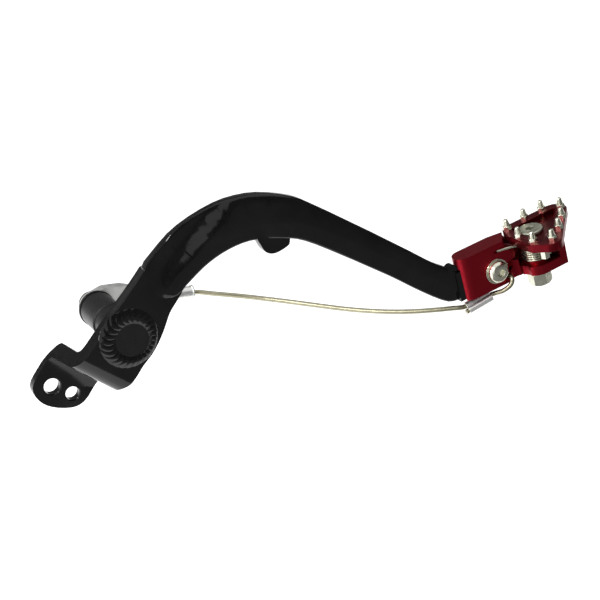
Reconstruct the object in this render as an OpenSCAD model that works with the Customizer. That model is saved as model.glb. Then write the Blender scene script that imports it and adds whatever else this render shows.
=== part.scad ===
// Rear brake pedal of an off-road motorbike: a forged arm welded to its pivot
// shaft, a folding tip with grip studs, and a wire rope that guards the gap.
// Millimetres. +X points forward along the arm, +Y towards the bike, +Z up.
// The origin is the middle of the pivot journal, and the shaft lies along Y.

/* [Pivot shaft] */
// Diameter of the journal that turns in the frame bush
journal_d = 22; // [20:0.5:24]
// Length of the journal between the two sealing rings
journal_len = 24; // [18:1:28]
// Thickness of the ring in the groove behind the pad
seal_t = 2.7; // [2:0.1:3.2]
// Diameter of the bolt that closes the shaft's inner end
pivot_bolt_d = 10; // [8:1:12]
// Thickness of the black washer on the journal's end
end_washer_t = 2.4; // [1.5:0.1:4]
// Height of the weld bead above the pad
bead_h = 1.5; // [1:0.1:2.5]
// Width of the weld bead, from the shaft outwards
bead_w = 6; // [4:0.5:7]

/* [Pad and lug] */
// Thickness of the pad that is welded to the shaft
pad_t = 12; // [9:0.5:14]
// Distance from the journal's middle to the back of the pad
pad_back = 37; // [34:0.5:42]
// Thickness of the set-back lug
tab_t = 6; // [4:0.5:8]
// Distance from the journal's middle to the back of the lug
tab_back = 8; // [4:0.5:10]
// Diameter of the hole for the master cylinder's clevis pin
clevis_hole_d = 10; // [6:0.5:11]
// Diameter of the hole for the return spring's hook
spring_hole_d = 8.5; // [4:0.5:9]
// Bevel on the edges of the lug's holes
hole_bevel = 0.6; // [0.2:0.1:1]

/* [Arm] */
// Thickness of the arm along its straight stretch
arm_t = 10; // [8:0.5:12]
// Height of the arm's face above the pad
arm_step = 3; // [1.5:0.5:4]
// Outward lean of the arm, as rise over run
arm_lean = 0.163; // [0.12:0.001:0.17]
// Width of the bevel along the arm's lower edge
bevel_w = 10; // [6:0.5:12]
// Depth of that bevel
bevel_depth = 3; // [1:0.5:4]
// Radius of the arm's long edges
edge_r = 1.8; // [0.8:0.1:2.5]
// Thickness of the tongue inside the tip holder
tongue_t = 7; // [5:0.5:8]

/* [Tip holder] */
// Thickness of the holder, front to back
holder_t = 13.5; // [12:0.5:16]
// Height of the holder's main block
holder_h = 28.5; // [26:0.5:31]
// Radius of the holder's upright left edges
holder_r = 6.5; // [2:0.5:6.5]
// Thickness of the ear under the plate
ear_t = 6; // [5:0.5:7]
// Radius of the ear's nose around the hinge
ear_r = 10.5; // [9.5:0.5:12]
// Diameter of the screw that holds the block on the tongue
screw_d = 8; // [6:1:8]
// Diameter of the wire rope's hole
rope_hole_d = 4.2; // [4:0.1:5]

/* [Folding plate] */
// Height of the plate's rim
plate_h = 5; // [4.5:0.5:6]
// Depth of the sunk pocket
pocket_depth = 3.5; // [2.5:0.5:4]
// Width of the rim around the pocket
rim_w = 7; // [6:0.5:7.5]
// Height of a stud above the rim
stud_h = 7; // [5:0.5:10]
// Size across the flats of a stud's base
stud_af = 5; // [4:0.5:5.5]

/* [Hinge] */
// Diameter of the hinge bolt
hinge_d = 8; // [6:0.5:8]
// Diameter of the hinge bolt's disc head
disc_d = 16; // [14:0.2:17.6]
// Wire thickness of the torsion spring
wire_d = 1.4; // [1:0.05:1.45]
// Mean radius of the spring's coil
coil_r = 7.7; // [7.5:0.1:7.9]

/* [Wire rope] */
// Diameter of the wire rope
rope_d = 3; // [2:0.1:3.4]
// Wall of the sleeve that is pressed on the rope
crimp_wall = 0.9; // [0.6:0.05:1.1]

/* [Fits] */
// Radial gap between a pin and the hole it turns in
run_gap = 0.05; // [0.02:0.01:0.1]
// Gap between faces of pieces that move past each other
face_gap = 0.3; // [0.2:0.05:0.5]
// Gap around pieces that sit still in each other
seat_gap = 0.1; // [0.05:0.05:0.3]

/* [Hidden] */
$fn = 48;
black_paint = [0.03, 0.03, 0.035];
red_anodise = [0.45, 0.02, 0.05];
bright_steel = [0.75, 0.74, 0.7];
dark_rubber = [0.05, 0.05, 0.05];
pale_alloy = [0.8, 0.8, 0.8];
brown_brass = [0.55, 0.36, 0.2];

// Shaft, counted along Y from the journal's middle
journal_r = journal_d / 2;
bolt_r = pivot_bolt_d / 2;
pad_front = pad_back + pad_t;
shaft_front = pad_front + 0.6;
groove_y = -journal_len / 2 - seal_t / 2;
groove_r = journal_r - seal_t + 0.8;
rear_seal_t = 1.2;
spigot_r = journal_r - 1.6;
washer_y = journal_len / 2 + rear_seal_t;
eye_y = washer_y + end_washer_t;
eye_t = 8;
bolt_head_y = eye_y + eye_t;
bolt_depth = 20;
bead_wide_at = 130;

// Pad frame: u runs up the pad towards the arm, w square to it
pad_angle = 37.8;
clevis_uw = [-50.5, 11.5];
spring_uw = [-48.8, -2.2];

// Arm: stations along the top and bottom edges, [x, z]
arm_top = [[24.3, 37.5], [43.6, 50.9], [69, 57.6], [91.6, 56], [112.8, 47], [125.3, 36.3],
           [148.7, 12.7], [172.6, -12.2], [184.8, -25.2], [193, -32.1], [197.3, -35.8]];
arm_low = [[40.9, 16.5], [55.2, 24], [69.6, 28.4], [84.4, 28.9], [100.8, 24], [113.8, 17.3],
           [134.3, -1.3], [158.6, -25.1], [172.3, -38.9], [188.6, -54], [197.6, -56.6]];
arm_from_x = 30;
spoon_steps = 5;
arm_steps = 34;

// Tip: the hinge axis stands upright
hinge_x = 251.8;
hinge_y = -83.5;
hinge_r = hinge_d / 2;
block_x = 198.6;
block_end = 240;
ear_end = 268;
block_front = -83.5;
block_back = block_front + holder_t;
base_z = -57.3;
block_top = base_z + holder_h;
ear_top = base_z + ear_t;
plate_top = block_top + 0.8;
plate_low = plate_top - plate_h;
floor_z = plate_top - pocket_depth;
sweep_r = 21.3;
spring_room = 9.2;
spring_turns = 5;
hub_low = plate_low - 6.6;
hub_r = hinge_r + 3;
boss_top = hub_low - spring_room;
boss_r = hinge_r + 3;
coil_room_r = coil_r + wire_d / 2 + 0.8;
ledge_from = [[block_end - 12, boss_top + 6.3], [block_end + 4, boss_top + 1]];
scoop = [236.6, -87.5, 6.6];
hinge_washer_t = 1.5;
hinge_nut_h = 8;
disc_t = 2.2;
disc_low = floor_z + face_gap;
tongue_y = block_front + 3.4;
screw_x = 222.2;
screw_z = -45.8;
screw_r = screw_d / 2;
rope_hole_x = 230.5;
rope_hole_z = -53.2;
wall_y = -74.2;
wall_top = plate_low - 4.1;
end_wall_top = plate_low - 6.7;
anchor_x = hinge_x - 0.3;
anchor_y = hinge_y - 11.6;
leg_groove = [224.4, block_top - 5];
pin_r = 1.5;
pin_x = 267;
pin_y = wall_y - pin_r - seat_gap;
plate_corners = [[243.6, -76.4, 8], [275.6, -76.4, 8.4], [247.6, -110.3, 7.2], [243.2, -103, 7.7]];
stud_spots = [[241.6, -74], [256.8, -71.3], [270.4, -71.1], [279.4, -79], [270.9, -91.6],
              [260.6, -102.2], [248.6, -111.4], [240.1, -103.4], [239.1, -89.8]];

// Wire rope: route from the eye's barrel to the tip, round the loop and back
barrel_end = [61.1, eye_y + eye_t / 2, -18.9];
barrel_drop = 17.4;
barrel_r = 4.3;
barrel_len = 19;
rope_r = rope_d / 2;
crimp_from = [200.5, -76.2, -64.6];
crimp_len = 17;
crimp_rise = 10;
lobe_off = [0, 1.35, 1.05];
rope_route = [barrel_end + [0.4, 0, -0.12], [65.5, 18.9, -20.3], [69, 17.3, -21.8], [73.5, 14.8, -23.8], [82, 9.8, -27.2],
              [90.5, 4, -30.5], [100, -3, -34.3], [111.5, -12, -38.9], [128, -25.5, -45.6],
              [139, -34.5, -49.9], [150, -43.5, -53.5], [161, -52, -56.5], [172.5, -60, -59],
              [184.5, -67.5, -61], [192.5, -71.8, -62.3], [196.5, -73.8, -63.1], [200.5, -74.85, -63.55],
              [209, -74.85, -62.05], [217.2, -74.85, -60.6], [221.5, -72.4, -60.1], [225.3, -69, -59.1],
              [228.4, -67, -56.8], [230.5, -67.8, -53.8], [230.5, -71, -53.2], [230.5, -82.5, -53.2],
              [230.6, -85.4, -53.8], [229.9, -86.4, -55.8], [228.4, -85.8, -58.1], [226, -84, -60.1],
              [223.6, -81.8, -61.5], [221, -79.4, -62.1], [217.2, -77.55, -62.7], [209, -77.55, -64.15],
              [200.5, -77.55, -65.65], [198.6, -77.55, -66]];

// Turns a shape that was drawn along Z so that it runs along +Y from y
module along_y(y = 0, x = 0, z = 0) {
  translate([x, y, z]) rotate([-90, 0, 0]) children();
}

// Stands a flat outline drawn in the pad's u and w up, with its back at y = back
module pad_prism(back, t) {
  translate([0, back, 0]) rotate([0, -pad_angle, 0]) rotate([90, 0, 0]) linear_extrude(t) children();
}

// Place of a pad point [u, w] in x and z
function pad_x(p) = p[0] * cos(pad_angle) - p[1] * sin(pad_angle);
function pad_z(p) = p[0] * sin(pad_angle) + p[1] * cos(pad_angle);

// Points of an arc about c, from angle a to angle b
function arc(c, r, a, b, n = 6) = [for (k = [0:n]) c + r * [cos(a + (b - a) * k / n), sin(a + (b - a) * k / n)]];

// One point of a smooth curve through p, at parameter t from 0 to len(p) - 1
function pick(p, k) = p[max(0, min(len(p) - 1, k))];
function curve_at(p, t) =
  let (k = min(floor(t), len(p) - 2), f = t - k, a = pick(p, k - 1), b = p[k], c = p[k + 1], d = pick(p, k + 2))
  b + f / 2 * (c - a) + f * f / 2 * (2 * a - 5 * b + 4 * c - d) + f * f * f / 2 * (3 * b - a - 3 * c + d);
function smooth(p, n) = [for (k = [0:n * (len(p) - 1)]) curve_at(p, k / n)];

function unit(v) = v / norm(v);

// Faces of a tube of m rings with n points each, closed at both ends
function tube_faces(m, n) = concat(
  [[for (j = [0:n - 1]) j]],
  [for (i = [0:m - 2], j = [0:n - 1]) [i * n + j, (i + 1) * n + j, (i + 1) * n + (j + 1) % n, i * n + (j + 1) % n]],
  [[for (j = [n - 1:-1:0]) (m - 1) * n + j]]);

// Round bar of radius r swept along points, its rings turned with the least twist
function aim(p, i) = unit(pick(p, i + 1) - pick(p, i - 1));
function sides(p, i, last) = i >= len(p) ? [] :
  let (t = aim(p, i), s = unit(last - (last * t) * t)) concat([s], sides(p, i + 1, s));
module swept_bar(p, r, n, first = [0, 0, 1]) {
  side = sides(p, 0, first);
  rings = [for (i = [0:len(p) - 1]) let (s = side[i], q = cross(aim(p, i), s))
    for (j = [0:n - 1]) p[i] + r * (cos(360 * j / n) * s + sin(360 * j / n) * q)];
  polyhedron(rings, tube_faces(len(p), n), convexity = 8);
}

// Hexagonal bar along Z, af across its flats
module hex_bar(af, h) {
  cylinder(d = af / cos(30), h = h, $fn = 6);
}

// Outline of pad and lug in u and w
module bracket_outline() {
  left = [[38, 14], [25, 14.5], [13, 15.5], [3, 16.7], [-7, 17.4], [-17, 17.9], [-26, 19.4]];
  lug = [[-34, 22], [-46, 23.8], [-56.5, 22.6], [-61.4, 15], [-61.4, 5.5], [-56.6, -5.6], [-50, -10.6], [-37, -12]];
  right = [[-31, -11.4], [-27.5, -12.6], [-23.5, -14.3], [-18, -15], [-10, -15], [-2, -16],
           [6, -15.7], [15, -14.3], [26, -13.7], [37, -12.8]];
  polygon(concat([[45, -6], [45, 10]], smooth(left, 2), smooth(lug, 3), smooth(right, 2)));
}

// Side view of the set-back in u and y: pad, web and lug in one stroke
module bracket_section() {
  pad_y = -pad_front;
  tab_y = -tab_back - tab_t;
  polygon(concat(
    [[46, pad_y]],
    arc([-21.5, pad_y + 10], 10, 270, 187, 7),
    [[-33.8, tab_y - 6]],
    arc([-37.4, tab_y - 3], 3, 0, 90, 3),
    [[-66, tab_y], [-66, -tab_back]],
    arc([-29, -tab_back - 4], 4, 90, 8, 5),
    [[-22.9, -pad_back + 5]],
    arc([-18.9, -pad_back + 4], 4, 186, 270, 4),
    [[46, -pad_back]]));
}

module bracket() {
  intersection() {
    pad_prism(0, pad_front + 5) bracket_outline();
    rotate([0, -pad_angle, 0]) translate([0, 0, -30]) linear_extrude(60) bracket_section();
  }
}

// Rounded corner of the arm's section about [h, q], from angle a to angle b
function corner(h, q, r, a, b, n) = [for (k = [0:n]) [h + r * cos(a + (b - a) * k / n), q + r * sin(a + (b - a) * k / n)]];

// Section of the arm: h is its height, t its thickness, front at depth 0
function arm_section(h, t, b, d, r) =
  let (slant = sqrt(1 / (b * b) + 1 / (d * d)), turn = 180 + atan2(b, d))
  concat(
    corner(h - r, r, r, -90, 0, 4),
    corner(h - r, t - r, r, 0, 90, 3),
    corner(r, t - r, r, 90, 180, 3),
    corner(r, d * (1 - r / b + r * slant), r, 180, turn, 3),
    corner(b * (1 - 2 * r / d + 2 * r * slant), 2 * r, 2 * r, turn, 270, 2));

// One ring of the arm between its edge points top and low, at scale s of the full section
function arm_ring(top, low, front, t, s) =
  let (h = norm(top - low), up = (top - low) / h)
  [for (p = arm_section(h, t, bevel_w * s, bevel_depth * s, edge_r * s))
    let (v = low + p[0] * up) [v[0], front + p[1], v[1]]];

arm_lift = -pad_front - arm_step;
function arm_front(x) = arm_lift - arm_lean * (x - arm_from_x);
function arm_depth(t) = arm_t + max(0, pad_t + arm_step - arm_t - 0.7) * pow(max(0, 1 - t / 2.5), 2);

module arm_body() {
  mid = (arm_top[0] + arm_low[0]) / 2;
  half = norm(arm_top[0] - arm_low[0]) / 2;
  up = unit(arm_top[0] - arm_low[0]);
  along = [up[1], -up[0]];
  spoon = [for (k = [0:spoon_steps - 1])
    let (a = 12 + (90 - 12) * k / spoon_steps, c = mid - along * half * cos(a), w = half * sin(a),
         lift = arm_step * (1 - min(1, half * (1 - cos(a)) / 2.6)), y = arm_front(mid[0]) + lift)
    arm_ring(c + up * w, c - up * w, y, arm_depth(0) - lift, sin(a))];
  stretch = [for (k = [0:arm_steps])
    let (t = k * (len(arm_top) - 1) / arm_steps, top = curve_at(arm_top, t), low = curve_at(arm_low, t))
    arm_ring(top, low, arm_front((top[0] + low[0]) / 2), arm_depth(t), 1)];
  rings = concat(spoon, stretch);
  points = [for (k = [len(rings) - 1:-1:0], p = rings[k]) p];
  polyhedron(points, tube_faces(len(rings), len(rings[0])), convexity = 8);
}

// Lug below the arm's bend, set back from the face
module bend_lug() {
  lug = smooth([[87.2, 34], [87.5, 25.6], [89.6, 20.2], [94.6, 17.8], [102.5, 18.9], [106.3, 21.3], [107.5, 26]], 3);
  translate([0, arm_front(96) + arm_t - 0.5, 0]) rotate([90, 0, 0]) linear_extrude(arm_t - 3)
    polygon(concat(lug, [[104, 36], [88, 38]]));
}

// Tongue that the holder grips, with its round shoulder
module tongue() {
  translate([196, tongue_y, base_z + 1.2]) cube([30, tongue_t, 19]);
  along_y(tongue_y + 1.5, 195.2, -34.6) cylinder(r = 3.4, h = tongue_t - 2);
}

module lug_hole(uw, d) {
  x = pad_x(uw);
  z = pad_z(uw);
  along_y(-tab_back - tab_t - 1, x, z) cylinder(d = d, h = tab_t + 2);
  along_y(-tab_back - hole_bevel, x, z) cylinder(d1 = d, d2 = d + 4 * hole_bevel, h = 2 * hole_bevel);
  along_y(-tab_back - tab_t - hole_bevel, x, z) cylinder(d1 = d + 4 * hole_bevel, d2 = d, h = 2 * hole_bevel);
}

module lever_arm() {
  color(black_paint) difference() {
    union() {
      bracket();
      arm_body();
      bend_lug();
      tongue();
    }
    along_y(-pad_front - 5) cylinder(r = journal_r + run_gap, h = pad_t + 10);
    lug_hole(clevis_uw, clevis_hole_d);
    lug_hole(spring_uw, spring_hole_d);
    along_y(tongue_y - 1, screw_x, screw_z) cylinder(r = screw_r + seat_gap, h = tongue_t + 2);
  }
}

module pivot_shaft() {
  color(black_paint) along_y() rotate_extrude($fn = 72) polygon([
    [0, -shaft_front], [journal_r - 0.8, -shaft_front], [journal_r, -shaft_front + 0.8],
    [journal_r, groove_y - seal_t / 2], [groove_r, groove_y - seal_t / 2],
    [groove_r, groove_y + seal_t / 2], [journal_r, groove_y + seal_t / 2],
    [journal_r, journal_len / 2], [spigot_r, journal_len / 2], [spigot_r, washer_y],
    [bolt_r + run_gap, washer_y], [bolt_r + run_gap, washer_y - bolt_depth], [0, washer_y - bolt_depth - 3]]);
}

// Rippled weld bead around the shaft, on the pad's face, wider towards the pad's top edge
module weld_bead() {
  ripples = 26;
  n = ripples * 4;
  inner = journal_r + run_gap + 0.02;
  profile = [[0, 0], [1, 0], [0.86, 0.55], [0.55, 1], [0.2, 1], [0, 0.8]];
  points = [for (i = [0:n - 1])
    let (a = 360 * i / n, wave = 0.86 + 0.14 * cos(a * ripples), w = bead_w * (1 + 0.24 * cos(a - bead_wide_at)))
    for (q = profile) let (r = inner + q[0] * w * (0.96 + 0.04 * wave))
      [r * cos(a), -pad_front - q[1] * bead_h * wave, r * sin(a)]];
  m = len(profile);
  faces = [for (i = [0:n - 1], j = [0:m - 1])
    [i * m + j, i * m + (j + 1) % m, ((i + 1) % n) * m + (j + 1) % m, ((i + 1) % n) * m + j]];
  color(black_paint) polyhedron(points, faces, convexity = 6);
}

module ring_seal(y, r, t) {
  along_y(y) rotate_extrude($fn = 64) translate([r + t / 2, 0]) circle(d = t, $fn = 20);
}

module shaft_o_ring() {
  color(dark_rubber) ring_seal(groove_y, groove_r, seal_t - 0.02);
}

module rear_o_ring() {
  color(dark_rubber) ring_seal(journal_len / 2 + rear_seal_t / 2, spigot_r, rear_seal_t - 0.02);
}

module end_washer() {
  color(black_paint) along_y(washer_y) difference() {
    union() {
      cylinder(r = journal_r + 0.4, h = end_washer_t - 0.5);
      translate([0, 0, end_washer_t - 0.5]) cylinder(r1 = journal_r + 0.4, r2 = journal_r - 0.1, h = 0.5);
    }
    translate([0, 0, -1]) cylinder(r = bolt_r + run_gap, h = end_washer_t + 2);
  }
}

// Eye on the pivot bolt, drawn in to the round barrel that holds the rope
module snake_eye() {
  eye_r = bolt_r + 3.4;
  color(bright_steel) difference() {
    union() {
      hull() {
        for (c = [[0, 0, 0], [8, 1.2, -0.2], [17, -1.2, -0.6]]) along_y(eye_y, c[0], c[1]) cylinder(r = eye_r + c[2], h = eye_t);
        translate(barrel_end) rotate([0, 90 + barrel_drop, 0])
          translate([0, 0, 1.3 - barrel_len]) cylinder(r = min(barrel_r - 0.35, eye_t / 2), h = 3, $fn = 32);
      }
      translate(barrel_end) rotate([0, 90 + barrel_drop, 0]) translate([0, 0, -barrel_len]) cylinder(r = barrel_r, h = barrel_len);
    }
    along_y(eye_y - 1) cylinder(r = bolt_r + run_gap, h = eye_t + 2);
  }
}

module pivot_bolt() {
  head_r = bolt_r + 3;
  color(black_paint) difference() {
    union() {
      along_y(washer_y - bolt_depth + 1) cylinder(r = bolt_r, h = bolt_head_y - washer_y + bolt_depth);
      along_y(bolt_head_y) rotate_extrude() polygon(concat(
        [[0, 0], [head_r, 0], [head_r, 1.6]], arc([head_r - 3.6, 1.6], 3.6, 0, 90, 5), [[0, 5.2]]));
    }
    along_y(bolt_head_y + 2.2) hex_bar(6, 5);
  }
}

// Ring where the rope leaves the barrel
module cable_collar() {
  color(bright_steel) translate(barrel_end + [0.05, 0, 0]) rotate([0, 90 + barrel_drop, 0]) difference() {
    cylinder(r = rope_r + 1.1, h = 1.4);
    translate([0, 0, -1]) cylinder(r = rope_r + 0.35, h = 4);
  }
}

module snake_cable() {
  color(bright_steel) swept_bar(smooth(rope_route, 2), rope_r, 8);
}

// Two-lobed sleeve pressed on the rope and on its returning end
module crimp_sleeve() {
  lobe_r = rope_r + crimp_wall;
  off = norm(lobe_off);
  tilt = atan2(lobe_off[2], lobe_off[1]);
  color(pale_alloy) translate(crimp_from) rotate([tilt, 0, 0]) rotate([0, 90 - crimp_rise, 0]) difference() {
    linear_extrude(crimp_len) {
      translate([0, off]) circle(lobe_r, $fn = 32);
      translate([0, -off]) circle(lobe_r, $fn = 32);
      square([lobe_r * 1.5, 2 * off], center = true);
    }
    for (s = [-off, off]) translate([0, s, -1]) cylinder(r = rope_r + 0.05, h = crimp_len + 2, $fn = 32);
  }
}

// Block that grips the arm's tongue and carries the hinge
module holder_block() {
  translate([0, 0, base_z]) linear_extrude(holder_h) polygon(concat(
    arc([block_x + holder_r, block_front + holder_r], holder_r, 180, 270, 8),
    [[block_end, block_front], [block_end, block_back]],
    arc([block_x + holder_r, block_back - holder_r], holder_r, 90, 180, 8)));
}

// Ear below the plate, with the wall behind it and the post at its end
module holder_ear() {
  ear_front = hinge_y - ear_r;
  translate([0, 0, base_z]) linear_extrude(ear_t) polygon(concat(
    [[block_end - 2, block_back], [block_end - 2, block_front + 2]],
    arc([hinge_x, hinge_y], ear_r, 170, 268, 10),
    [[ear_end, ear_front + 0.4], [ear_end, block_back]]));
  translate([block_end - 2, wall_y, base_z]) cube([ear_end - block_end + 2, block_back - wall_y, wall_top - base_z]);
  translate([ear_end - 5, ear_front + 0.4, base_z]) cube([5, block_back - ear_front - 0.4, end_wall_top - base_z]);
  translate([hinge_x, hinge_y, base_z]) cylinder(r = boss_r, h = boss_top - base_z);
}

// Room above the sloping ledge in which the plate turns
module plate_room() {
  difference() {
    translate([hinge_x, hinge_y, base_z]) cylinder(r = sweep_r, h = 60, $fn = 96);
    along_y(block_front - 5) linear_extrude(holder_t + 10)
      polygon([[200, -base_z + 5], [ledge_from[0][0] - 20, -ledge_from[0][1]], [ledge_from[0][0], -ledge_from[0][1]],
               [ledge_from[1][0], -ledge_from[1][1]], [ledge_from[1][0] + 40, -base_z + 5]]);
  }
}

module tip_holder() {
  slot_y = tongue_y - seat_gap;
  color(red_anodise) difference() {
    union() {
      difference() {
        holder_block();
        plate_room();
        translate([hinge_x, hinge_y, boss_top]) cylinder(r = coil_room_r, h = 40);
      }
      holder_ear();
    }
    translate([scoop[0], scoop[1], base_z - 1]) cylinder(r = scoop[2], h = boss_top + 6 - base_z);
    translate([block_x - 5, slot_y, base_z - 1]) cube([34, tongue_t + 2 * seat_gap, 22.2]);
    along_y(block_front - 1, screw_x, screw_z) cylinder(r = screw_r + seat_gap, h = holder_t + 2);
    along_y(block_front - 1, rope_hole_x, rope_hole_z) cylinder(d = rope_hole_d, h = holder_t + 2);
    translate([hinge_x, hinge_y, base_z - 1]) cylinder(r = hinge_r + seat_gap, h = 20);
    translate([leg_groove[0] - 1, block_front - 1, leg_groove[1] - 1]) cube([10, 2.4, 2]);
  }
}

module holder_screw() {
  head_r = screw_r + 3;
  face = block_front - 1.3;
  color(bright_steel) difference() {
    union() {
      along_y(face, screw_x, screw_z) cylinder(r = screw_r, h = holder_t + 1.3 + 6);
      translate([screw_x, face, screw_z]) rotate([90, 0, 0]) rotate_extrude() polygon(concat(
        [[0, 0], [head_r, 0], [head_r, 0.8]], arc([head_r - 3.6, 0.8], 3.6, 0, 90, 6), [[0, 4.4]]));
    }
    translate([screw_x, face - 2, screw_z]) rotate([90, 0, 0]) hex_bar(5, 4);
  }
}

module holder_washer() {
  color(bright_steel) along_y(block_front - 1.3, screw_x, screw_z) difference() {
    cylinder(r = 2 * screw_r, h = 1.3);
    translate([0, 0, -1]) cylinder(r = screw_r + seat_gap, h = 4);
  }
}

// Hexagonal nut along Z from 0 to h, its corners turned off at both ends
module nut(af, h, hole_r) {
  difference() {
    intersection() {
      hex_bar(af, h);
      rotate_extrude() polygon([[0, 0], [af / 2, 0], [af / 2 + 1.3, 1], [af / 2 + 1.3, h - 1], [af / 2, h], [0, h]]);
    }
    translate([0, 0, -1]) cylinder(r = hole_r, h = h + 2);
  }
}

module holder_nut() {
  color(bright_steel) along_y(block_back, screw_x, screw_z) nut(screw_d + 5, 5, screw_r + run_gap);
}

// Plate's outline: a hull of its corner circles, each made smaller by inset
module plate_outline(inset) {
  hull() for (c = plate_corners) translate([c[0], c[1]]) circle(max(0.6, c[2] - inset), $fn = 48);
}

module tip_plate() {
  color(red_anodise) difference() {
    union() {
      translate([0, 0, plate_low]) linear_extrude(plate_h - 0.6) plate_outline(0);
      translate([0, 0, plate_top - 0.6]) linear_extrude(0.6) plate_outline(0.4);
      translate([hinge_x, hinge_y, hub_low]) cylinder(r = hub_r, h = floor_z - hub_low);
      translate([anchor_x, anchor_y, hub_low]) cylinder(r = 2.2, h = plate_low - hub_low + 0.1);
    }
    translate([0, 0, floor_z]) linear_extrude(10) plate_outline(rim_w);
    translate([0, 0, floor_z]) linear_extrude(10) hull() {
      translate([252, -98]) circle(2.4);
      translate([244.6, -106.8]) circle(2.2);
    }
    translate([hinge_x, hinge_y, floor_z]) cylinder(d = disc_d + 2 * face_gap, h = 10);
    translate([hinge_x, hinge_y, hub_low - 1]) cylinder(r = hinge_r + run_gap, h = 20);
    translate([pin_x, pin_y, plate_low - 1]) cylinder(r = pin_r, h = 20);
  }
}

// Grip stud: a hexagonal base and a tapered, rounded point
module stud() {
  intersection() {
    hex_bar(stud_af, 2.6);
    cylinder(r1 = stud_af / 2 + 2.6, r2 = stud_af / 2, h = 2.6);
  }
  translate([0, 0, 2.6]) rotate_extrude($fn = 24) polygon(concat(
    [[0, 0], [stud_af / 2 - 0.3, 0]], arc([0.45, stud_h - 3.6], 1, 8, 90, 4), [[0, stud_h - 2.6]]));
}

module tip_studs() {
  color(bright_steel) for (p = stud_spots) translate([p[0], p[1], plate_top]) rotate([0, 0, 12]) stud();
}

module hinge_bolt() {
  color(bright_steel) translate([hinge_x, hinge_y, 0]) difference() {
    union() {
      translate([0, 0, base_z - 10.5]) cylinder(r = hinge_r, h = disc_low - base_z + 10.5);
      translate([0, 0, disc_low]) rotate_extrude() polygon([
        [0, 0], [disc_d / 2 - 0.3, 0], [disc_d / 2, 0.3], [disc_d / 2, disc_t - 0.6], [disc_d / 2 - 0.6, disc_t], [0, disc_t]]);
    }
    translate([0, 0, disc_low - 1.6]) hex_bar(5, 6);
  }
}

module hinge_washer() {
  color(bright_steel) translate([hinge_x, hinge_y, base_z - hinge_washer_t]) difference() {
    cylinder(r = 2 * hinge_r, h = hinge_washer_t);
    translate([0, 0, -1]) cylinder(r = hinge_r + seat_gap, h = 4);
  }
}

module hinge_nut() {
  color(bright_steel) translate([hinge_x, hinge_y, base_z - hinge_washer_t - hinge_nut_h]) rotate([0, 0, 27])
    nut(hinge_d + 5, hinge_nut_h, hinge_r + run_gap);
}

module hinge_sleeve() {
  color(bright_steel) translate([hinge_x, hinge_y, boss_top]) difference() {
    cylinder(r = hinge_r + 2, h = hub_low - face_gap - boss_top);
    translate([0, 0, -1]) cylinder(r = hinge_r + seat_gap, h = 20);
  }
}

// Coil round the sleeve, one leg in the block's groove and one behind the anchor screw
module torsion_spring() {
  per_turn = 18;
  z_low = boss_top + wire_d / 2 + 0.02;
  z_high = hub_low - face_gap - wire_d / 2;
  sweep = -15.3 - 360 * spring_turns;
  n = per_turn * spring_turns + 1;
  coil = [for (k = [0:n]) let (f = k / n, a = 270 + sweep * f)
    [hinge_x + coil_r * cos(a), hinge_y + coil_r * sin(a), z_low + (z_high - z_low) * f]];
  hook_x = anchor_x + 3 + wire_d / 2;
  short_leg = [[hook_x + 0.2, anchor_y, z_low + 3.4], [hook_x + 0.2, anchor_y + 2, z_low + 2],
               [hook_x - 0.8, hinge_y - coil_r - 0.3, z_low + 0.5]];
  leg_dir = [-0.97, 0.23, 0];
  long_leg = [coil[n] + 4 * leg_dir + [0, 0, 0.8], coil[n] + 14 * leg_dir + [0, 0, 5.4],
              [leg_groove[0] + 0.4, block_front - wire_d / 2 + 1, leg_groove[1]]];
  color(bright_steel) swept_bar(concat(short_leg, coil, long_leg), wire_d / 2, 8);
}

module spring_anchor_screw() {
  color(bright_steel) translate([anchor_x, anchor_y, hub_low - 6.6]) hex_bar(5.2, 6.6);
}

module stop_pin() {
  pin_low = plate_low - 5.9;
  color(brown_brass) translate([pin_x, pin_y, pin_low]) cylinder(r = pin_r, h = floor_z - pin_low + 0.4);
}

lever_arm();
pivot_shaft();
weld_bead();
shaft_o_ring();
rear_o_ring();
end_washer();
snake_eye();
pivot_bolt();
snake_cable();
cable_collar();
crimp_sleeve();
tip_holder();
holder_screw();
holder_washer();
holder_nut();
tip_plate();
tip_studs();
hinge_bolt();
hinge_washer();
hinge_nut();
hinge_sleeve();
torsion_spring();
spring_anchor_screw();
stop_pin();
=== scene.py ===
"""Rear brake pedal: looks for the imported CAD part. Metres, in the part's own frame."""
from math import cos, pi, radians, sin

import bmesh
import bpy
from mathutils import Matrix, Vector


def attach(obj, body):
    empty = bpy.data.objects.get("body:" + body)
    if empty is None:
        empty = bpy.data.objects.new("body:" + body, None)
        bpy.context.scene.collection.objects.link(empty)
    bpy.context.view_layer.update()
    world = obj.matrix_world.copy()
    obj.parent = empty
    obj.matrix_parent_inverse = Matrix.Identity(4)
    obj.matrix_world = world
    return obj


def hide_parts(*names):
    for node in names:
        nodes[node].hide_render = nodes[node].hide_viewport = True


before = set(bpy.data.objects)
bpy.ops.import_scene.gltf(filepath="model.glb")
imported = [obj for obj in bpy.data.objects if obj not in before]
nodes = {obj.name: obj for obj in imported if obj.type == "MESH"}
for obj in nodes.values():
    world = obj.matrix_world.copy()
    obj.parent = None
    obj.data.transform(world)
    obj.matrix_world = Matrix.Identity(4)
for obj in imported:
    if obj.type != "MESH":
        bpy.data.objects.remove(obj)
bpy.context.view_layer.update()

MM = 0.001

# Camera: fitted to the photograph, which looks forward and down from outside
CAMERA_AT = (-0.1529, -0.7479, 0.3229)
AZIMUTH = 20.29
ELEVATION = 24.9
ROLL = 16.54
SENSOR = 36.0
FOCAL_PER_WIDTH = 1356.73 / 600

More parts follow.
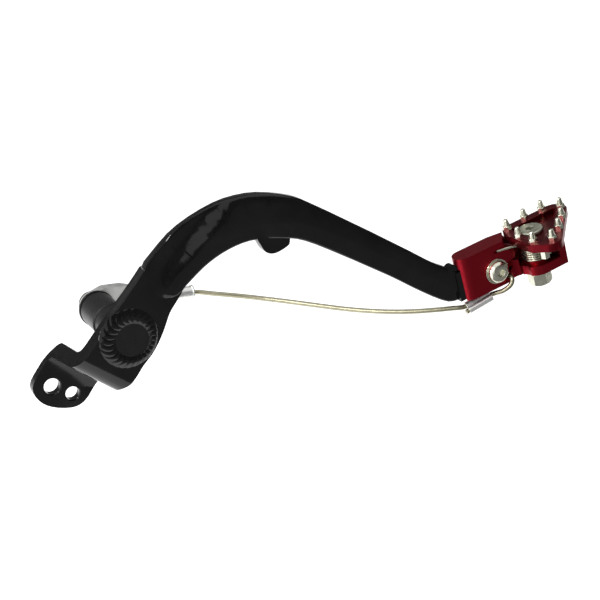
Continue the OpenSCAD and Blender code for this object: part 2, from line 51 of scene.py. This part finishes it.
# Sizes shared with the CAD model
JOURNAL_R = 11 * MM
PAD_FRONT_Y = -49 * MM
PAD_ANGLE = radians(37.8)
LUG_HOLES = ((-50.5, 11.5), (-48.8, -2.2))  # middles, along and across the pad, in mm
ROPE_D = 3 * MM
WIRE_D = 1.4 * MM
COIL_R = 7.7 * MM
COIL_TURNS = 5
SPRING_LOW = -48.8 * MM
SPRING_HIGH = -39.8 * MM
HINGE = Vector((251.8, -83.5, 0)) * MM
BARREL_END = Vector((61.1, 19.6, -18.9)) * MM
BARREL_LEAN = radians(17.4)
ROPE_ROUTE = [Vector(p) * MM for p in (
    (61.5, 19.6, -19.02), (65.5, 18.9, -20.3), (69, 17.3, -21.8), (73.5, 14.8, -23.8), (82, 9.8, -27.2),
    (90.5, 4, -30.5), (100, -3, -34.3), (111.5, -12, -38.9), (128, -25.5, -45.6),
    (139, -34.5, -49.9), (150, -43.5, -53.5), (161, -52, -56.5), (172.5, -60, -59),
    (184.5, -67.5, -61), (192.5, -71.8, -62.3), (196.5, -73.8, -63.1), (200.5, -74.85, -63.55),
    (209, -74.85, -62.05), (217.2, -74.85, -60.6), (221.5, -72.4, -60.1), (225.3, -69, -59.1),
    (228.4, -67, -56.8), (230.5, -67.8, -53.8), (230.5, -71, -53.2), (230.5, -82.5, -53.2),
    (230.6, -85.4, -53.8), (229.9, -86.4, -55.8), (228.4, -85.8, -58.1), (226, -84, -60.1),
    (223.6, -81.8, -61.5), (221, -79.4, -62.1), (217.2, -77.55, -62.7), (209, -77.55, -64.15),
    (200.5, -77.55, -65.65), (198.6, -77.55, -66))]

# Radii of the holder's end wall round the hinge, in mm: in the CAD model, then as it is drawn here
WALL_R = 21.3
WALL_BACK_R = 17.7
WALL_FRONT_STEP = 3.1
WALL_BELOW_R = 13.2

# Studio
FLOOR_LEVEL = -0.16
LAMP_TARGET = (0.1, -0.05, 0)


# Stage

def make_camera():
    """Camera from the fitted position, azimuth, elevation and roll."""
    az, el, roll = radians(AZIMUTH), radians(ELEVATION), radians(ROLL)
    forward = Vector((sin(az) * cos(el), cos(az) * cos(el), -sin(el)))
    right = Vector((cos(az), -sin(az), 0))
    up = right.cross(forward)
    tilted_right = cos(roll) * right - sin(roll) * up
    tilted_up = sin(roll) * right + cos(roll) * up
    data = bpy.data.cameras.new("camera")
    data.sensor_width = SENSOR
    data.lens = SENSOR * FOCAL_PER_WIDTH
    data.clip_start = 0.01
    camera = bpy.data.objects.new("camera", data)
    turn = Matrix((tilted_right, tilted_up, -forward)).transposed().to_4x4()
    camera.matrix_world = Matrix.Translation(CAMERA_AT) @ turn
    bpy.context.scene.collection.objects.link(camera)
    bpy.context.scene.camera = camera


def make_lamp(name, at, side, watts):
    """Square lamp that shines at the middle of the pedal."""
    data = bpy.data.lights.new(name, "AREA")
    data.shape = "RECTANGLE"
    data.size = side
    data.size_y = side
    data.energy = watts
    lamp = bpy.data.objects.new(name, data)
    lamp.location = at
    lamp.rotation_euler = (Vector(LAMP_TARGET) - Vector(at)).to_track_quat("-Z", "Y").to_euler()
    bpy.context.scene.collection.objects.link(lamp)


def seen_ray(tree):
    """1 for a ray of the camera, or one reflected or refracted, else 0."""
    path = tree.nodes.new("ShaderNodeLightPath")
    first = tree.nodes.new("ShaderNodeMath")
    first.operation = "MAXIMUM"
    tree.links.new(path.outputs["Is Camera Ray"], first.inputs[0])
    tree.links.new(path.outputs["Is Glossy Ray"], first.inputs[1])
    both = tree.nodes.new("ShaderNodeMath")
    both.operation = "MAXIMUM"
    tree.links.new(first.outputs[0], both.inputs[0])
    tree.links.new(path.outputs["Is Transmission Ray"], both.inputs[1])
    return both.outputs[0]


def make_world():
    """White to seen rays, softer as a light."""
    world = bpy.data.worlds.new("studio")
    bpy.context.scene.world = world
    world.use_nodes = True
    tree = world.node_tree
    tree.nodes.clear()
    soft = tree.nodes.new("ShaderNodeBackground")
    soft.inputs["Strength"].default_value = 0.45
    white = tree.nodes.new("ShaderNodeBackground")
    white.inputs["Strength"].default_value = 1.0
    for back in (soft, white):
        back.inputs["Color"].default_value = (1, 1, 1, 1)
    mix = tree.nodes.new("ShaderNodeMixShader")
    tree.links.new(seen_ray(tree), mix.inputs[0])
    tree.links.new(soft.outputs[0], mix.inputs[1])
    tree.links.new(white.outputs[0], mix.inputs[2])
    out = tree.nodes.new("ShaderNodeOutputWorld")
    tree.links.new(mix.outputs[0], out.inputs[0])


def sheet(name, corners, material):
    """One flat face of the stage."""
    mesh = bpy.data.meshes.new(name)
    mesh.from_pydata(corners, [], [tuple(range(len(corners)))])
    mesh.materials.append(material)
    piece = bpy.data.objects.new(name, mesh)
    bpy.context.scene.collection.objects.link(piece)
    return piece


def make_floor(level):
    """White floor that seen rays find bright enough to be white, with the shadow still on it."""
    material = bpy.data.materials.new("floor_white")
    material.use_nodes = True
    tree = material.node_tree
    tree.nodes.clear()
    matt = tree.nodes.new("ShaderNodeBsdfDiffuse")
    matt.inputs["Color"].default_value = (0.9, 0.9, 0.9, 1)
    glow = tree.nodes.new("ShaderNodeEmission")
    glow.inputs["Color"].default_value = (1, 1, 1, 1)
    share = tree.nodes.new("ShaderNodeMath")
    share.operation = "MULTIPLY"
    share.inputs[1].default_value = 0.6
    tree.links.new(seen_ray(tree), share.inputs[0])
    tree.links.new(share.outputs[0], glow.inputs["Strength"])
    both = tree.nodes.new("ShaderNodeAddShader")
    tree.links.new(matt.outputs[0], both.inputs[0])
    tree.links.new(glow.outputs[0], both.inputs[1])
    out = tree.nodes.new("ShaderNodeOutputMaterial")
    tree.links.new(both.outputs[0], out.inputs[0])
    reach = 4.0
    corners = [(-reach, -reach, level), (reach, -reach, level), (reach, reach, level), (-reach, reach, level)]
    sheet("floor", corners, material)


def make_flags(level):
    """Grey cards on the near floor and on all sides but the left, seen in reflections alone."""
    material = bpy.data.materials.new("flag_grey")
    material.use_nodes = True
    shader = material.node_tree.nodes["Principled BSDF"]
    shader.inputs["Specular IOR Level"].default_value = 0.0
    grey = 0.26
    shader.inputs["Base Color"].default_value = (grey, grey, grey, 1)
    edge = 1.6
    low = level + 0.004
    high = level + 1.4
    top = 2.0
    cards = {
        "flag_near": [(-0.35, -0.3, low), (-0.8, -edge, low), (edge, -edge, low),
                      (edge, -0.09, low), (0.12, -0.09, low), (0.0, -0.24, low)],
        "flag_front": [(-0.4, -edge, low), (-0.4, -edge, high), (edge, -edge, high), (edge, -edge, low)],
        "flag_right": [(edge, -edge, low), (edge, -edge, high), (edge, edge, high), (edge, edge, low)],
        "flag_back": [(-0.8, edge, low), (-0.8, edge, top), (edge, edge, top), (edge, edge, low)],
    }
    for name, corners in cards.items():
        card = sheet(name, corners, material)
        card.visible_camera = False
        card.visible_diffuse = False
        card.visible_transmission = False
        card.visible_shadow = False


# Materials

class Surface:
    """A principled material that is built up with a few short calls."""

    def __init__(self, name, colour, roughness, metallic=0.0, **sockets):
        self.material = bpy.data.materials.new(name)
        self.material.use_nodes = True
        self.tree = self.material.node_tree
        self.shader = self.tree.nodes["Principled BSDF"]
        self.shader.inputs["Base Color"].default_value = (*colour, 1)
        self.shader.inputs["Metallic"].default_value = metallic
        self.shader.inputs["Roughness"].default_value = roughness
        for key, value in sockets.items():
            self.shader.inputs[key.replace("_", " ")].default_value = value
        self.colour = colour
        self.place = self.tree.nodes.new("ShaderNodeTexCoord")
        self.height = None

    def noise(self, scale, detail, stretch=(1, 1, 1)):
        """Noise over the surface, in features per metre."""
        mapping = self.tree.nodes.new("ShaderNodeMapping")
        mapping.inputs["Scale"].default_value = stretch
        self.tree.links.new(self.place.outputs["Object"], mapping.inputs["Vector"])
        noise = self.tree.nodes.new("ShaderNodeTexNoise")
        noise.inputs["Scale"].default_value = scale
        noise.inputs["Detail"].default_value = detail
        self.tree.links.new(mapping.outputs[0], noise.inputs["Vector"])
        return noise.outputs["Fac"]

    def ramp(self, value, low, high, start=0.3, end=0.7):
        """Maps value, from start to end, to a number from low to high."""
        node = self.tree.nodes.new("ShaderNodeMapRange")
        node.inputs["From Min"].default_value = start
        node.inputs["From Max"].default_value = end
        node.inputs["To Min"].default_value = low
        node.inputs["To Max"].default_value = high
        self.tree.links.new(value, node.inputs["Value"])
        return node.outputs[0]

    def tint(self, mask, colour):
        """Mixes the base colour towards colour by mask."""
        node = self.tree.nodes.new("ShaderNodeMix")
        node.data_type = "RGBA"
        self.tree.links.new(mask, node.inputs[0])
        socket = self.shader.inputs["Base Color"]
        if socket.is_linked:
            self.tree.links.new(socket.links[0].from_socket, node.inputs[6])
        else:
            node.inputs[6].default_value = (*self.colour, 1)
        node.inputs[7].default_value = (*colour, 1)
        self.tree.links.new(node.outputs[2], socket)

    def vary_roughness(self, value, low, high):
        self.tree.links.new(self.ramp(value, low, high), self.shader.inputs["Roughness"])

    def bump(self, value, depth):
        """Adds relief; depth in metres."""
        node = self.tree.nodes.new("ShaderNodeBump")
        node.inputs["Strength"].default_value = 1.0
        node.inputs["Distance"].default_value = depth
        self.tree.links.new(value, node.inputs["Height"])
        if self.height:
            self.tree.links.new(self.height, node.inputs["Normal"])
        self.height = node.outputs[0]
        self.tree.links.new(self.height, self.shader.inputs["Normal"])

    def edge_highlight_mask(self):
        """1 along convex edges, from the mesh's pointiness, as a mask for a painted highlight."""
        geometry = self.tree.nodes.new("ShaderNodeNewGeometry")
        sharp = 0.52
        return self.ramp(geometry.outputs["Pointiness"], 0, 1, sharp, sharp + 0.05)


def gloss_black():
    """Powder coat: smooth, with faint orange peel."""
    s = Surface("gloss_black", (0.0012, 0.0013, 0.0013), roughness=0.1, Specular_IOR_Level=0.36)
    s.vary_roughness(s.noise(90, 3), 0.08, 0.13)
    s.bump(s.noise(700, 2), 0.000012)
    s.tint(s.ramp(s.noise(60, 5), 0, 0.5), (0.006, 0.0062, 0.0064))
    return s.material


def satin_black():
    """Blackened steel, with a painted highlight that makes its edges greyer."""
    s = Surface("satin_black", (0.006, 0.0064, 0.0062), roughness=0.3, Specular_IOR_Level=0.3)
    s.vary_roughness(s.noise(150, 3), 0.26, 0.36)
    s.bump(s.noise(1500, 2), 0.000006)
    # Painted highlight: convex edges are made grey, as where light catches them.
    s.tint(s.edge_highlight_mask(), (0.03, 0.03, 0.03))
    return s.material


def red_anodised():
    """Blasted and anodised aluminium, a deep red, with a painted highlight on its convex edges."""
    s = Surface("red_anodised", (0.09, 0.004, 0.0075), metallic=0.9, roughness=0.42, Specular_IOR_Level=0.15)
    s.vary_roughness(s.noise(400, 4), 0.3, 0.42)
    s.bump(s.noise(5200, 2), 0.000007)
    s.tint(s.ramp(s.noise(120, 4), 0, 0.6), (0.1, 0.0045, 0.009))
    # Painted highlight: convex edges are made a brighter red, as where light catches their rounding.
    s.tint(s.edge_highlight_mask(), (0.26, 0.009, 0.017))
    return s.material


def bright_screw_steel():
    """Stainless screws: warm grey with turned marks."""
    s = Surface("screw_steel", (0.75, 0.75, 0.63), metallic=1.0, roughness=0.22)
    s.vary_roughness(s.noise(600, 3), 0.14, 0.3)
    s.bump(s.noise(1800, 3, (1, 1, 6)), 0.000008)
    s.tint(s.ramp(s.noise(260, 4), 0, 0.7), (0.58, 0.58, 0.47))
    return s.material


def dull_steel():
    """The hinge bolt's flat head: greyer and rougher than the screws."""
    s = Surface("dull_steel", (0.42, 0.42, 0.34), metallic=0.85, roughness=0.42)
    s.vary_roughness(s.noise(500, 3), 0.36, 0.5)
    s.bump(s.noise(1500, 3), 0.000008)
    s.tint(s.ramp(s.noise(200, 4), 0, 0.6), (0.34, 0.34, 0.28))
    return s.material


def rope_core():
    """Steel strands under the clear coat."""
    s = Surface("rope_core", (0.42, 0.4, 0.28), metallic=1.0, roughness=0.35)
    s.vary_roughness(s.noise(900, 2), 0.28, 0.44)
    s.bump(s.noise(3000, 2), 0.000006)
    s.tint(s.ramp(s.noise(350, 3), 0, 0.6), (0.3, 0.28, 0.2))
    return s.material


def rope_coat():
    """Clear plastic round the rope."""
    s = Surface("rope_coat", (0.8, 0.81, 0.78), roughness=0.25, Alpha=0.75)
    s.vary_roughness(s.noise(300, 3), 0.2, 0.34)
    s.bump(s.noise(1200, 2), 0.00001)
    return s.material


def spring_steel():
    """Drawn spring wire."""
    s = Surface("spring_steel", (0.5, 0.48, 0.38), metallic=1.0, roughness=0.28)
    s.vary_roughness(s.noise(800, 2), 0.22, 0.38)
    s.bump(s.noise(2500, 2), 0.000006)
    return s.material


def cast_silver():
    """Eye of the guard rope: satin grey metal."""
    s = Surface("cast_silver", (0.86, 0.87, 0.84), metallic=0.9, roughness=0.4)
    s.vary_roughness(s.noise(300, 4), 0.34, 0.48)
    s.bump(s.noise(1800, 3), 0.00001)
    return s.material


def soft_alloy():
    """Pressed sleeve: pale alloy with drawn lines."""
    s = Surface("soft_alloy", (0.95, 0.95, 0.93), metallic=0.9, roughness=0.36)
    s.vary_roughness(s.noise(500, 3, (1, 8, 8)), 0.3, 0.46)
    s.bump(s.noise(900, 3, (1, 10, 10)), 0.00002)
    return s.material


def seal_rubber():
    """Matt black rubber."""
    s = Surface("seal_rubber", (0.005, 0.005, 0.005), roughness=0.55, Specular_IOR_Level=0.3)
    s.bump(s.noise(2500, 3), 0.00001)
    s.vary_roughness(s.noise(600, 3), 0.48, 0.65)
    return s.material


def dull_brass():
    """Brown metal of the small pin."""
    s = Surface("dull_brass", (0.3, 0.17, 0.09), metallic=1.0, roughness=0.38)
    s.bump(s.noise(2500, 3), 0.00001)
    s.tint(s.ramp(s.noise(500, 3), 0, 0.6), (0.2, 0.1, 0.05))
    return s.material


# Mesh tools

def new_piece(name, mesh, material, body, node=None):
    """Links a finished mesh, gives it its finish and sets it on its body."""
    piece = bpy.data.objects.new(name, mesh)
    bpy.context.scene.collection.objects.link(piece)
    mesh.materials.clear()
    mesh.materials.append(material)
    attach(piece, body)
    if node:
        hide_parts(node)
    return piece


def ease(value, start, end):
    """0 at start, 1 at end, smooth between and flat beyond."""
    t = max(0.0, min(1.0, (value - start) / (end - start)))
    return t * t * (3 - 2 * t)


def dress(node, material, body, bevel, angle=32, reshape=None):
    """A cleaned copy of a CAD node, smooth across its curves, with small rounded edges."""
    mesh = nodes[node].data.copy()
    mesh.name = node + "_skin"
    work = bmesh.new()
    work.from_mesh(mesh)
    bmesh.ops.remove_doubles(work, verts=work.verts, dist=0.000004)
    if reshape:
        for longest in (8 * MM, 4 * MM):
            long_edges = [e for e in work.edges if e.calc_length() > longest]
            bmesh.ops.subdivide_edges(work, edges=long_edges, cuts=1)
            bmesh.ops.triangulate(work, faces=work.faces)
        for vert in work.verts:
            vert.co = reshape(vert.co / MM) * MM
    bmesh.ops.dissolve_limit(work, angle_limit=radians(0.6), verts=work.verts, edges=work.edges)
    work.to_mesh(mesh)
    work.free()
    if "custom_normal" in mesh.attributes:
        mesh.attributes.remove(mesh.attributes["custom_normal"])
    mesh.shade_smooth()
    mesh.set_sharp_from_angle(angle=radians(angle))
    piece = new_piece(node + "_skin", mesh, material, body, node)
    edge = piece.modifiers.new("edge", "BEVEL")
    edge.width = bevel
    edge.segments = 3
    edge.limit_method = "ANGLE"
    edge.angle_limit = radians(angle)
    edge.harden_normals = True
    edge.use_clamp_overlap = True


def arm_shape(at):
    """Moves the arm's outline to the photo's: pad edges, root, lugs and lower edge, in mm."""
    along = cos(PAD_ANGLE)
    across = sin(PAD_ANGLE)
    u = at.x * along + at.z * across
    w = at.z * along - at.x * across
    y = at.y
    front = -49
    # The pad's upper edge goes out
    near = ease(u, 1, 9) * (1 - ease(u, 40, 58))
    w += near * ease(w, 11, 14) * (0.4 + 1.4 * (1 - ease(y, front, -38)))
    if y > front - 0.5:
        # The pad's lower edge goes in
        right = -11.7 - 2.2 * ease(u, 26, 14)
        w += max(0.0, right - w) * ease(u, 12, 18) * (1 - ease(u, 38, 44)) * ease(w, -6, -11)
    else:
        # What stands proud of the pad grows from its front face
        rise = max(ease(at.x, 15, 110), 0.9 * ease(w, 10, -6) * ease(at.x, 20, 34))
        y = front + (y - front) * rise
    # The set-back lug's outline, away from its two holes
    hole_reach = min(Vector((u - a, w - b)).length for a, b in LUG_HOLES)
    lug = ease(u, -38, -48) * ease(hole_reach, 5.6, 7.5)
    # The lower edge before the tip
    low = 0.5 * ease(at.x + at.z, 148, 135) * ease(at.x, 155, 180)
    # The lug under the bend, which is what lies below the arm's lower line
    under = min(28.9 - 0.3 * (at.x - 84.4), 24 - 0.515 * (at.x - 100.8)) - at.z
    stop = ease(under, 0.4, 2.5) * ease(at.x, 83, 86) * (1 - ease(at.x, 109, 112))
    x = u * along - w * across + 0.4 * lug - low + 0.8 * stop
    z = u * across + w * along - 0.7 * lug - low - 1.2 * stop
    return Vector((x, y, z))


def holder_shape(at):
    """The block's round end wall, closer to the plate and closer still below it, in mm."""
    flat = Vector((at.x - HINGE.x / MM, at.y - HINGE.y / MM, 0))
    reach = flat.length
    on_wall = at.z > -48 and WALL_R - 0.5 < reach < WALL_R + 0.5 and flat.x < 0
    if not on_wall:
        return at
    close = WALL_BACK_R + WALL_FRONT_STEP * ease(flat.y, 7, 0)
    below = ease(at.z, -33.8, -36.5) * ease(flat.y, -2, 2)
    return at - flat / reach * (reach - close - (WALL_BELOW_R - close) * below)


def plate_shape(at):
    """The plate's back left corner drawn in round its stud, in mm."""
    inward = ease(at.y, -84, -76) * ease(at.x, 243, 237)
    return at + Vector((2.2 * inward, 0, 0))


def paint(node, material):
    """Gives a CAD node that is shown as it is a better material."""
    mesh = nodes[node].data
    mesh.materials.clear()
    mesh.materials.append(material)


def curve_at(points, t):
    """Point of the smooth curve through points, at t from 0 to len(points) - 1."""
    last = len(points) - 1
    k = min(int(t), last - 1)
    f = t - k
    a, b, c, d = (points[max(0, min(last, k + j))] for j in (-1, 0, 1, 2))
    bend = f * f / 2 * (2 * a - 5 * b + 4 * c - d)
    twist = f ** 3 / 2 * (3 * b - a - 3 * c + d)
    return b + f / 2 * (c - a) + bend + twist


def even_points(points, step):
    """Points at even distances along the smooth curve through points."""
    parts = 40
    fine = [curve_at(points, k / parts) for k in range(parts * (len(points) - 1) + 1)]
    out = [fine[0]]
    gone = 0.0
    for a, b in zip(fine, fine[1:]):
        gone += (b - a).length
        if gone >= step:
            out.append(b)
            gone = 0.0
    return out + ([fine[-1]] if gone > step / 2 else [])


def carried_sides(points):
    """Tangent, side and top vectors along points, turning as little as they can."""
    out = []
    side = Vector((0, 0, 1))
    for i in range(len(points)):
        ahead = (points[min(i + 1, len(points) - 1)] - points[max(i - 1, 0)]).normalized()
        side = (side - side.dot(ahead) * ahead).normalized()
        out.append((ahead, side, ahead.cross(side)))
    return out


def add_tube(work, points, radius, sides, slot=0):
    """Adds a round bar along points to a bmesh."""
    rings = []
    faces = []
    angles = [2 * pi * j / sides for j in range(sides)]
    for p, (_, s, t) in zip(points, carried_sides(points)):
        rings.append([work.verts.new(p + radius * (cos(a) * s + sin(a) * t)) for a in angles])
    for a, b in zip(rings, rings[1:]):
        for j in range(sides):
            k = (j + 1) % sides
            faces.append(work.faces.new((a[j], a[k], b[k], b[j])))
    faces.append(work.faces.new(list(reversed(rings[0]))))
    faces.append(work.faces.new(rings[-1]))
    for face in faces:
        face.material_index = slot


def close_ring(work, rows):
    """Faces between closed rows of points that go once round an axis."""
    for i, row in enumerate(rows):
        ahead = rows[(i + 1) % len(rows)]
        for j in range(len(row)):
            k = (j + 1) % len(row)
            work.faces.new((row[j], row[k], ahead[k], ahead[j]))


def mesh_from(work, name):
    """Turns a bmesh into a smooth mesh with its normals outwards."""
    bmesh.ops.recalc_face_normals(work, faces=work.faces)
    mesh = bpy.data.meshes.new(name)
    work.to_mesh(mesh)
    work.free()
    mesh.shade_smooth()
    mesh.set_sharp_from_angle(angle=radians(50))
    return mesh


# Pieces made anew in place of CAD nodes

def wire_rope():
    """Six strands laid round a core inside a clear coat, along the CAD rope's route."""
    line = even_points(ROPE_ROUTE, 0.9 * MM)
    frames = carried_sides(line)
    strands = 6
    strand_r = 0.34 * MM
    strand_sides = 6
    lay = 12 * MM
    work = bmesh.new()
    add_tube(work, line, strand_r, strand_sides)
    for k in range(strands):
        gone = 0.0
        path = []
        for i, (p, (_, s, t)) in enumerate(zip(line, frames)):
            gone += (p - line[i - 1]).length if i else 0
            a = 2 * pi * (k / strands + gone / lay)
            path.append(p + 1.96 * strand_r * (cos(a) * s + sin(a) * t))
        add_tube(work, path, strand_r, strand_sides)
    add_tube(work, line, ROPE_D / 2, 20, 1)
    mesh = mesh_from(work, "wire_rope")
    piece = new_piece("wire_rope", mesh, rope_core(), "pedal", "snake_cable")
    piece.data.materials.append(rope_coat())


def barrel_flange(material):
    """Turned ring on the barrel's end, where the rope comes out."""
    along = Vector((cos(BARREL_LEAN), 0, -sin(BARREL_LEAN)))
    side = Vector((0, 1, 0))
    up = Vector((sin(BARREL_LEAN), 0, cos(BARREL_LEAN)))
    profile = [(0.05, 1.6), (0.05, 4.7), (0.25, 4.9), (1.15, 4.9), (1.35, 4.7), (1.35, 1.9), (1.05, 1.6)]
    steps = 48
    work = bmesh.new()
    rows = []
    for k in range(steps):
        a = 2 * pi * k / steps
        out = side * cos(a) + up * sin(a)
        rows.append([work.verts.new(BARREL_END + (along * p + out * q) * MM) for p, q in profile])
    close_ring(work, rows)
    mesh = mesh_from(work, "barrel_flange")
    new_piece("barrel_flange", mesh, material, "pedal", "cable_collar")


def coil_spring(material):
    """The torsion spring with a round wire, on the CAD spring's path."""
    z_low = SPRING_LOW + WIRE_D / 2 + 0.02 * MM
    z_high = SPRING_HIGH - WIRE_D / 2
    sweep = -15.3 - 360 * COIL_TURNS
    steps = 48 * COIL_TURNS
    coil = []
    for k in range(steps + 1):
        a = radians(270 + sweep * k / steps)
        z = z_low + (z_high - z_low) * k / steps
        coil.append(HINGE + Vector((COIL_R * cos(a), COIL_R * sin(a), z)))
    hook_x = HINGE.x - 0.3 * MM + 3 * MM + WIRE_D / 2
    short_leg = even_points([Vector((hook_x + 0.2 * MM, HINGE.y - 11.6 * MM, z_low + 3.4 * MM)),
                             Vector((hook_x + 0.2 * MM, HINGE.y - 9.6 * MM, z_low + 2 * MM)),
                             Vector((hook_x - 0.8 * MM, HINGE.y - COIL_R - 0.3 * MM, z_low + 0.5 * MM))], MM)
    lean = Vector((-0.97, 0.23, 0)) * MM
    rise = Vector((0, 0, MM))
    long_leg = even_points([coil[-1] + 4 * lean + 1.6 * rise, Vector((240.5, -88.2, -35.6)) * MM,
                            Vector((236, -86.4, -34.1)) * MM, Vector((224.8, -83.2, -33.8)) * MM], 1.5 * MM)
    work = bmesh.new()
    add_tube(work, short_leg + coil + long_leg, WIRE_D / 2, 14)
    mesh = mesh_from(work, "coil_spring")
    new_piece("coil_spring", mesh, material, "pedal", "torsion_spring")


def weld_ring(material):
    """Overlapping weld puddles around the shaft, fanned like scales, widest at the upper left."""
    puddles = 26
    per = 16
    across = 22
    widest = radians(130)
    inner = JOURNAL_R - 0.9 * MM
    work = bmesh.new()
    rows = []
    for i in range(puddles * per):
        a = 2 * pi * i / (puddles * per)
        width = (7.7 + 2.2 * cos(a - widest)) * MM
        row = []
        for j in range(across + 1):
            q = j / across
            phase = (i / per - 1.1 * (1 - (1.5 * q - 0.6) ** 2)) % 1.0
            scale = sin(pi * phase) ** 0.6
            crown = sin(pi * min(1.0, 0.04 + 0.96 * q)) ** 0.85
            height = MM * (0.62 * (1 - q) + crown * (1.0 + 0.38 * scale))
            radius = inner + width * q * (1 + 0.02 * (scale - 0.5) * q)
            row.append(work.verts.new((radius * cos(a), PAD_FRONT_Y - height, radius * sin(a))))
        for radius, back in ((inner + width, 1.2), (inner, -0.62)):
            row.append(work.verts.new((radius * cos(a), PAD_FRONT_Y + back * MM, radius * sin(a))))
        rows.append(row)
    close_ring(work, rows)
    mesh = mesh_from(work, "weld_ring")
    new_piece("weld_ring", mesh, material, "pedal", "weld_bead")


def build():
    """All pieces: dressed CAD nodes, painted ones and those made anew."""
    black = gloss_black()
    satin = satin_black()
    red = red_anodised()
    steel = bright_screw_steel()
    silver = cast_silver()
    dress("lever_arm", black, "pedal", bevel=0.0007, angle=28, reshape=arm_shape)
    dress("pivot_shaft", satin, "pedal", bevel=0.0002)
    dress("tip_holder", red, "pedal", bevel=0.0005, angle=40, reshape=holder_shape)
    dress("tip_plate", red, "folding_tip", bevel=0.0003, angle=40, reshape=plate_shape)
    dress("tip_studs", steel, "folding_tip", bevel=0.00015, angle=40)
    dress("snake_eye", silver, "pedal", bevel=0.0006, angle=35)
    dress("crimp_sleeve", soft_alloy(), "pedal", bevel=0.0002, angle=40)
    dress("hinge_bolt", dull_steel(), "pedal", bevel=0.0002, angle=25)
    for node in ("holder_screw", "holder_washer", "holder_nut", "hinge_washer", "hinge_nut"):
        dress(node, steel, "pedal", bevel=0.0002, angle=25)
    dress("spring_anchor_screw", steel, "folding_tip", bevel=0.0002, angle=30)
    dress("end_washer", satin, "pedal", bevel=0.0001)
    dress("pivot_bolt", satin, "pedal", bevel=0.0002, angle=25)
    rubber = seal_rubber()
    for node in ("shaft_o_ring", "rear_o_ring"):
        paint(node, rubber)
    paint("hinge_sleeve", steel)
    paint("stop_pin", dull_brass())
    wire_rope()
    barrel_flange(silver)
    coil_spring(spring_steel())
    weld_ring(black)


make_camera()
make_world()
make_lamp("key", (-0.43, -0.57, 0.66), 0.18, 6)
make_lamp("side", (-0.85, -0.1, 0.3), 0.4, 4)
make_lamp("top", (-0.45, 0.25, 0.75), 0.4, 2)
make_floor(FLOOR_LEVEL)
make_flags(FLOOR_LEVEL)
build()
bpy.context.scene.view_settings.view_transform = "Standard"
